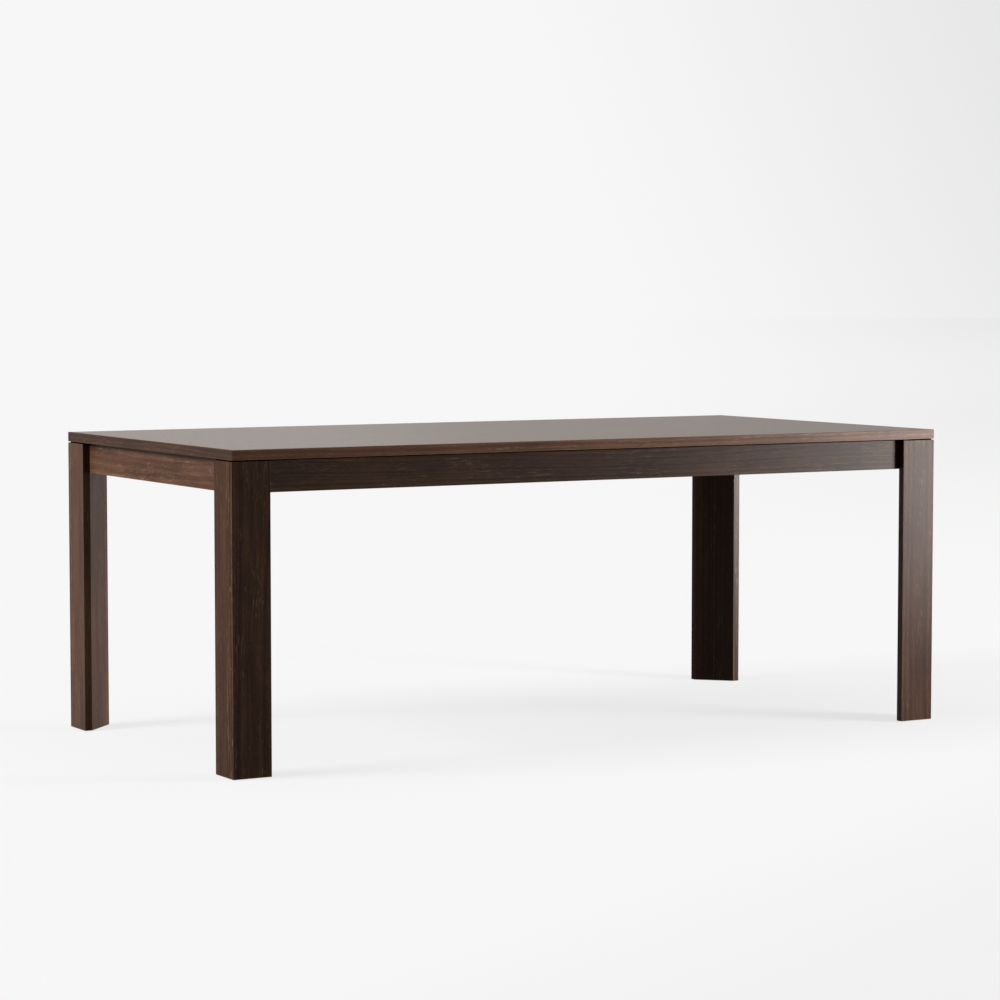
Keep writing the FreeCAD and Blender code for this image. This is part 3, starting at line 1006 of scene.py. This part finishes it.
@dataclass
class Leg:
    """One leg, glued up from three staves, square outside and cut off along its inner corner."""

    corner: str
    first_seed: int
    looks: tuple[Look, ...]
    edge_width: float = 19 * MM
    hearts: tuple[Pair, ...] = (
        (4 * MM, 50 * MM),
        (-26 * MM, 70 * MM),
        (-56 * MM, 90 * MM),
    )

    def dress(self) -> None:
        """Gives each stave its finish."""
        edges = self._edges()
        staves = zip(self._nodes(), self.looks, self.hearts)
        for seed, (node, look, heart) in enumerate(staves, self.first_seed):
            # Above gap_bottom() the staves are painted black without lacquer: painted shade in the
            # shadow gap under the top.
            STAINED.dress(Board(node, Grain.ALONG_Z, seed, look, heart, edges, gap_bottom()))

    def _nodes(self) -> list[str]:
        """The CAD nodes of the staves, from the outermost to the innermost."""
        return [f"leg_{self.corner}_{stave}_stave" for stave in ("outer", "middle", "inner")]

    def _edges(self) -> PostEdges:
        """The leg's upright edges, from the box round its three staves.

        Returns:
            The edges of the post with one corner cut off.
        """
        boxes = [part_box(node) for node in self._nodes()]
        low = [min(b[0][i] for b in boxes) for i in range(3)]
        high = [max(b[1][i] for b in boxes) for i in range(3)]
        in_x, out_x = sorted((low[0], high[0]), key=abs)
        in_y, out_y = sorted((low[1], high[1]), key=abs)
        step_x = math.copysign(self.edge_width, in_x - out_x)
        step_y = math.copysign(self.edge_width, in_y - out_y)
        upright = (
            (out_x, out_y),
            (in_x, out_y),
            (in_x, out_y + step_y),
            (out_x + step_x, in_y),
            (out_x, in_y),
        )
        return PostEdges(upright, low[2], high[2])


@dataclass
class ApronFrame:
    """The four aprons and the two cross rails between them."""

    aprons: dict[str, Look] = field(
        default_factory=lambda: {
            "front": Look(0.54, 0.9),
            "back": Look(0.8),
            "left": Look(1.9, 0.85, 1.08, 0.6),
            "right": Look(1.0),
        }
    )
    apron_heart: Pair = (50 * MM, 80 * MM)
    apron_seed: int = 30
    rail_seed: int = 40
    dowel_seed: int = 44

    def dress(self) -> None:
        """Gives each apron, rail and dowel its finish."""
        for seed, (side, look) in enumerate(self.aprons.items(), self.apron_seed):
            node = "apron_" + side
            grain, edges = Grain.of_side(side), slab(node)
            # Only the front apron gets a black band along its top edge: painted shade where the
            # top's overhang shades it.
            painted_shade_from = gap_bottom() if side == "front" else None
            board = Board(node, grain, seed, look, self.apron_heart, edges, painted_shade_from)
            FLAT_SAWN.dress(board)
        for seed, side in enumerate(("left", "right"), self.rail_seed):
            node = "cross_rail_" + side
            SEALED.dress(Board(node, Grain.ALONG_Y, seed, edges=slab(node)))
        BEECH.dress(Board("rail_dowels", Grain.ALONG_Y, self.dowel_seed, centre=(0.0, 0.0, 0.0)))


CORNERS = ("front_left", "front_right", "back_left", "back_right")
STAVE_LOOKS = {
    "front_left": (
        # painted shade: the outer stave's front and back faces are darker than its side face
        Look(1.2, 0.7, 1.0, 1.7, fibre=1.7, y_faces=(0.51, 0.95)),
        Look(1.15, 0.8, figure=0.6),
        Look(1.15, 0.8, figure=0.6),
    ),
    "front_right": (Look(0.72, 0.92, figure=0.85), Look(0.70, 0.9), Look(0.66, 0.8)),
    "back_left": (
        Look(1.85, 1.2, figure=0.7),
        Look(1.5, 1.3, figure=0.5),
        # painted shade: the inner stave's front and back faces are darker and less glossy
        Look(1.35, 1.3, figure=0.5, y_faces=(0.5, 0.35)),
    ),
    # Painted shade: very low tones and gloss darken the back right leg as if it stood in the shade
    # under the top; the inner stave's front and back faces are brought back up, lighter and
    # glossier: painted light.
    "back_right": (
        Look(0.29, 0.47),
        Look(0.20, 0.40),
        Look(0.22, 0.42, y_faces=(4.2, 3.8)),
    ),
}


LEG_SEEDS = range(50, 70, 5)


@dataclass
class CornerJoints:
    """The corner blocks, and the hanger bolts with washers and nuts that draw up the legs."""

    zinc: bpy.types.Material
    body: str = "table_frame"
    shank_radius: float = 3.5 * MM
    wood_thread_length: float = 44 * MM
    shank_end: float = 52 * MM
    point_length: float = 6 * MM
    tip_share: float = 0.06
    end_chamfer: float = 0.8 * MM
    nut_across_flats: float = 13 * MM
    bore_radius: float = 4.08 * MM
    bore_chamfer: float = 0.5 * MM
    block_seed: int = 50
    around: int = 20
    wood_thread_rows: int = 104
    rows_per_turn: int = 6

    def build(self) -> None:
        """Makes the threaded bolts and chamfered nuts, and dresses what stays."""
        for name, node, rings, closed in (
            ("threaded_hanger_bolts", "hanger_bolts", self._bolt_rings, False),
            ("chamfered_nuts", "hanger_bolt_nuts", self._nut_rings, True),
        ):
            grids = [rings(*place) for place in self._axes(node)]
            stand_in(grid_mesh(name, grids, closed), node, self.body, self.zinc)
        for node in ("hanger_bolt_washers", "block_screws"):
            dress(node, self.zinc)
        for seed, corner in enumerate(CORNERS, self.block_seed):
            SEALED.dress(Board("corner_block_" + corner, Grain.ALONG_X, seed))

    @staticmethod
    def _axes(node: str) -> list[tuple[Vector, Vector, float]]:
        """Where each of a node's eight fasteners lies: two in each corner, one above the other.

        Args:
            node: the CAD node, whose points are parted by quarter of the table and by height.

        Returns:
            For each fastener its outer end on its axis, its unit axis towards the table's
            middle, and its length.
        """
        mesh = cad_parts[node].data
        points = np.zeros(len(mesh.vertices) * 3)
        mesh.vertices.foreach_get("co", points)
        points = points.reshape(-1, 3)
        half_height = (points[:, 2].min() + points[:, 2].max()) / 2
        sides = points - np.array([0.0, 0.0, half_height])
        found = []
        for signs in product((-1, 1), repeat=3):
            mine = points[(sides * signs > 0).all(axis=1)]
            axis = Vector((-signs[0], -signs[1], 0.0)).normalized()
            along = mine @ np.array(axis)
            centre = Vector((mine.min(axis=0) + mine.max(axis=0)) / 2)
            start = centre + axis * (along.min() - centre.dot(axis))
            found.append((start, axis, float(along.max() - along.min())))
        return found

    def _bolt_rings(self, start: Vector, axis: Vector, length: float) -> np.ndarray:
        """A hanger bolt: a pointed coarse wood thread, a plain shank and a machine thread.

        Args:
            start: the point, on the bolt's axis.
            axis: the unit direction from the point to the other end.
            length: the bolt's whole length.

        Returns:
            The bolt's rings of points.
        """
        coarse = np.linspace(0.0, self.wood_thread_length, self.wood_thread_rows)
        plain = np.linspace(self.wood_thread_length + MM, self.shank_end - MM, 4)
        shank = np.full((len(plain), self.around), self.shank_radius)
        fine, rod = MACHINE_THREAD.rod(
            self.shank_end, length, self.end_chamfer, self.rows_per_turn, self.around
        )
        height = np.concatenate([coarse, plain, fine])
        radius = np.concatenate([WOOD_THREAD.radii(coarse, self.around), shank, rod])
        point = np.clip(height / self.point_length, self.tip_share, 1.0)
        return turned(radius * point[:, None], height, start, axis)

    def _nut_rings(self, start: Vector, axis: Vector, length: float) -> np.ndarray:
        """A hex nut: its outside is the lesser of the hexagon and a cone at each face.

        Args:
            start: the middle of the face against the washer.
            axis: the unit direction from that face to the other.
            length: the nut's height.

        Returns:
            The nut's rings of points, outside first and then back through the bore.
        """
        around = 3 * self.around
        chamfer = np.array([0.0, 0.15, 0.35, 0.6, 0.9]) * MM
        outer = np.concatenate([chamfer, length - chamfer[::-1]])
        from_face = np.minimum(outer, length - outer)
        outside = coned_hexagon(self.nut_across_flats, from_face, around)
        inner = np.array([length, length - self.bore_chamfer, self.bore_chamfer, 0.0])
        bore = self.bore_radius + self.bore_chamfer * np.array([1.0, 0.0, 0.0, 1.0])
        inside = np.repeat(bore[:, None], around, axis=1)
        radius = np.concatenate([outside, inside])
        return turned(radius, np.concatenate([outer, inner]), start, axis)


@dataclass
class LevelingFoot:
    """A levelling foot: a nylon pad, a threaded stem with a hex collar, and its steel insert."""

    corner: str
    zinc: bpy.types.Material
    nylon: bpy.types.Material
    foot_radius: float = 5 * MM
    collar_across_flats: float = 13 * MM
    collar_low: float = 8 * MM
    collar_high: float = 12 * MM
    end_chamfer: float = 1 * MM
    around: int = 36
    rows_per_turn: int = 10

    def build(self) -> None:
        """Makes the threaded stem, and dresses the pad and insert."""
        node = "leveler_stem_" + self.corner
        low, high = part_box(node)
        base = (low + high) / 2
        base.z = 0.0
        rings = self._stem_rings(base, low.z, high.z)
        piece = grid_mesh("threaded_stem_" + self.corner, [rings], False)
        stand_in(piece, node, f"leveler_stem_{self.corner}_body", self.zinc)
        dress("leveler_pad_" + self.corner, self.nylon)
        dress("leveler_insert_" + self.corner, self.zinc)

    def _stem_rings(self, base: Vector, low: float, high: float) -> np.ndarray:
        """The stem's rings: a round foot, a hex collar with coned faces, then the thread.

        Args:
            base: the point on the floor under the stem.
            low: the height of the foot's underside.
            high: the height of the stem's top.

        Returns:
            The stem's rings of points, from the foot up.
        """
        foot_z = np.array([low, low + 0.3 * MM, low + 0.8 * MM, self.collar_low])
        foot_r = self.foot_radius - np.array([0.8, 0.25, 0.0, 0.0]) * MM
        collar_z = self.collar_low + np.array([0.0, 0.3, 0.7, 3.3, 3.7, 4.0]) * MM
        from_face = np.minimum(collar_z - self.collar_low, self.collar_high - collar_z)
        collar = coned_hexagon(self.collar_across_flats, from_face, self.around)
        rod_z, rod = MACHINE_THREAD.rod(
            self.collar_high, high, self.end_chamfer, self.rows_per_turn, self.around
        )
        foot = np.repeat(foot_r[:, None], self.around, axis=1)
        radius = np.concatenate([foot, collar, rod])
        height = np.concatenate([foot_z, collar_z, rod_z])
        return turned(radius, height, base, Vector((0.0, 0.0, 1.0)))


@dataclass
class TopFixings:
    """The steel clips and screws that hold the top down on the aprons and rails."""

    zinc: bpy.types.Material

    def dress(self) -> None:
        """Gives the clips and screws their finish."""
        for node in ("top_clips", "clip_screws", "rail_screws"):
            dress(node, self.zinc)


# The studio


class LampShape(Enum):
    """A lamp's outline. The value is the share of its width times its height that it fills."""

    RECTANGLE = 1.0
    ELLIPSE = math.pi / 4


@dataclass(frozen=True)
class Lamp:
    """A soft lamp, oblong or round, that faces a point. Lacquer need not mirror it."""

    name: str
    place: Triple
    aim: Triple
    width: float
    height: float
    radiance: float
    shape: LampShape = LampShape.RECTANGLE
    mirrored: bool = True

    def _strength(self) -> float:
        """The lamp's radiance times its area."""
        return self.radiance * self.width * self.height * self.shape.value

    def _facing(self) -> tuple[Vector, Quaternion]:
        """The unit direction that the lamp faces, and the turn from straight down to it."""
        facing = (Vector(self.aim) - Vector(self.place)).normalized()
        return facing, facing.to_track_quat("-Z", "Y")

    def build(self) -> None:
        """Makes the lamp. Its power is its radiance times its area times pi."""
        light = bpy.data.lights.new(self.name, "AREA")
        light.shape = self.shape.name
        light.size = self.width
        light.size_y = self.height
        light.energy = self._strength() * math.pi
        lamp = placed(self.name, light)
        lamp.location = self.place
        lamp.rotation_euler = self._facing()[1].to_euler()
        lamp.visible_camera = False
        lamp.visible_glossy = self.mirrored
        LOG.info("lamp %s", self.name)

    def on_floor(self, g: Graph, place: Sock) -> Sock:
        """The lamp's light on open floor, over pi, summed over the four quarters of the lamp.

        A quarter gives radiance * area * its height * forward / distance ** 4 / pi, where forward
        is how far the place lies from it along the way the lamp faces.

        Args:
            g: the floor's graph.
            place: a point on the floor, which is at height 0.

        Returns:
            The light that arrives.
        """
        facing, turn = self._facing()
        power = self._strength() / 4 / math.pi
        quarters = []
        for across, up in product((-1, 1), repeat=2):
            shift = turn @ Vector((across * self.width / 4, up * self.height / 4, 0.0))
            quarter = Vector(self.place) + shift
            gap = g.vector("SUBTRACT", place, tuple(quarter))
            square = g.dot(gap, gap)
            share = g.math("MAXIMUM", g.dot(gap, tuple(facing)), 0.0) / (square * square)
            quarters.append(share * (power * quarter.z))
        return sum(quarters)


LAMPS = (
    Lamp("key_left", (-5.8, 0.3, 3.7), (0.0, 0.0, 0.5), 2.4, 2.9, 15.3, mirrored=False),
    Lamp("front_right", (2.56, -2.13, 0.77), (0.6, -0.3, 0.6), 0.88, 1.19, 32.0),
    Lamp("fill_right", (6.5, 1.5, 1.2), (0.0, 0.0, 0.5), 2.5, 2.2, 3.5),
    Lamp("dish_back", (1.4, 6.5, 2.4), (0.0, 0.0, 0.7), 3.8, 3.8, 0.2, LampShape.ELLIPSE),
    Lamp("overhead", (0.0, 0.3, 5.0), (0.0, 0.0, 0.0), 4.0, 4.0, 1.15),
)


@dataclass(frozen=True)
class Viewpoint:
    """The camera: where it stands, and which way it looks."""

    place: Triple = (-3.9559, -6.8878, 1.1448)
    yaw: float = 0.5198
    pitch: float = -0.0707
    lens: float = 110.72
    sensor: float = 36.0
    reach: float = 200.0

    def build(self) -> None:
        """Makes the camera and hands it to the scene."""
        data = bpy.data.cameras.new("studio_camera")
        data.lens = self.lens
        data.sensor_width = self.sensor
        data.clip_end = self.reach
        camera = placed("studio_camera", data)
        camera.location = self.place
        camera.rotation_euler = (math.pi / 2 + self.pitch, 0.0, -self.yaw)
        bpy.context.scene.camera = camera


SHOWING_RAYS = ("Is Camera Ray", "Is Glossy Ray", "Is Transmission Ray")


@dataclass(frozen=True)
class Studio:
    """A pale floor that runs on into a pale surround, soft lamps, and the picture's settings."""

    view: Viewpoint
    lamps: tuple[Lamp, ...]
    white: float = 0.927
    dim: float = 0.747
    dim_towards: Triple = (0.908, 0.330, 0.259)
    dim_cosines: Pair = (0.75, 0.90)
    dim_floor: Triple = (3.0, 20.0, 80.0)
    ambient: float = 0.02
    floor_radius: float = 90.0
    floor_albedo: float = 0.9
    rim_points: int = 64
    shadow_share: float = 0.23
    near_dim: float = 0.045
    near_dim_along: Triple = (0.8, -1.6, 0.0)
    near_dim_span: Pair = (2.2, 3.9)
    bounce_albedo: float = 0.06
    plain_floor: Pair = (3.0, 8.0)

    def build(self) -> None:
        """Makes the floor, the surround and the lamps."""
        scene = bpy.context.scene
        scene.view_settings.view_transform = "Standard"
        self._floor()
        self._surround()
        for lamp in self.lamps:
            lamp.build()
        self.view.build()

    def _seen(self, g: Graph) -> Sock:
        """1 for rays that show the background, straight, by a reflection or through glass."""
        rays = [g.node("ShaderNodeLightPath", output=kind) for kind in SHOWING_RAYS]
        return g.math("MAXIMUM", g.math("MAXIMUM", rays[0], rays[1]), rays[2])

    def _level(self, g: Graph, direction: Sock) -> Sock:
        """The brightness of the background: less by a smooth step of a cosine to one side."""
        cosine = g.dot(direction, self.dim_towards)
        return self.white - g.between(*self.dim_cosines, cosine) * (self.white - self.dim)

    def _surround(self) -> None:
        """The world: a pale background, and a low even light."""
        world = bpy.data.worlds.new("studio_surround")
        world.use_nodes = True
        bpy.context.scene.world = world
        g = Graph(world.node_tree)
        direction = g.node("ShaderNodeTexCoord", output="Generated")
        level = self._level(g, direction)
        seen = self._seen(g)
        brightness = level * seen + self.ambient * (1.0 - seen)
        grey = {"Color": g.grey(brightness), "Strength": 1.0}
        g.surface(g.node("ShaderNodeBackground", {}, grey), "ShaderNodeOutputWorld")

    def _floor(self) -> None:
        """The floor: one flat round face, whose rim points lie at even angles."""
        angle = angles(self.rim_points)
        rim = np.stack([np.cos(angle), np.sin(angle), 0.0 * angle], axis=-1) * self.floor_radius
        mesh = bpy.data.meshes.new("studio_floor")
        mesh.from_pydata(rim.tolist(), [], [list(range(len(rim)))])
        floor = placed("studio_floor", mesh)
        mesh.materials.append(self._floor_finish())

    def _floor_finish(self) -> bpy.types.Material:
        """The floor's finish: it glows an even white, less in the table's shadows.

        It glows by its white less a share of the light that the lamps give an open floor, and
        takes that share back from the lamps themselves, which the table shades.

        Returns:
            The material.
        """
        material, g = new_material("floor_finish")
        place = g.object_place()
        length = g.length(place)
        start, middle_ring, end = self.dim_floor
        far = g.between(start, middle_ring, length) + g.between(middle_ring, end, length)
        near = g.between(*self.near_dim_span, g.dot(place, self.near_dim_along))
        dimmed = self.white - self._level(g, g.vector("NORMALIZE", place))
        level = self.white - far * 0.5 * dimmed - near * self.near_dim
        share = (1.0 - g.between(*self.plain_floor, length)) * self.shadow_share
        light = sum(lamp.on_floor(g, place) for lamp in self.lamps)
        level = level - light * share * self.floor_albedo
        glow = g.node("ShaderNodeEmission", {}, {"Color": g.grey(level), "Strength": 1.0})
        takes, unseen = (
            g.node("ShaderNodeBsdfDiffuse", {}, {"Color": (albedo, albedo, albedo, 1.0)})
            for albedo in (self.floor_albedo, self.bounce_albedo)
        )
        black = g.node("ShaderNodeEmission", {}, {"Strength": 0.0})
        lit = g.node("ShaderNodeMixShader", {}, {0: share, 1: black, 2: takes})
        shown = g.node("ShaderNodeAddShader", {}, {0: glow, 1: lit})
        g.surface(g.node("ShaderNodeMixShader", {}, {0: self._seen(g), 1: unseen, 2: shown}))
        return material


def main() -> None:
    """Dresses and builds every sub-assembly, then the studio round it."""
    logging.basicConfig(level=logging.INFO, format="%(message)s")
    zinc = ZincPlateFinish().material("zinc_plate")
    nylon = NylonFinish().material("black_nylon")
    TableTop().dress()
    for seed, (corner, looks) in zip(LEG_SEEDS, STAVE_LOOKS.items()):
        Leg(corner, seed, looks).dress()
    ApronFrame().dress()
    CornerJoints(zinc).build()
    TopFixings(zinc).dress()
    for corner in CORNERS:
        LevelingFoot(corner, zinc, nylon).build()
    Studio(Viewpoint(), LAMPS).build()


if __name__ == "__main__":
    main()
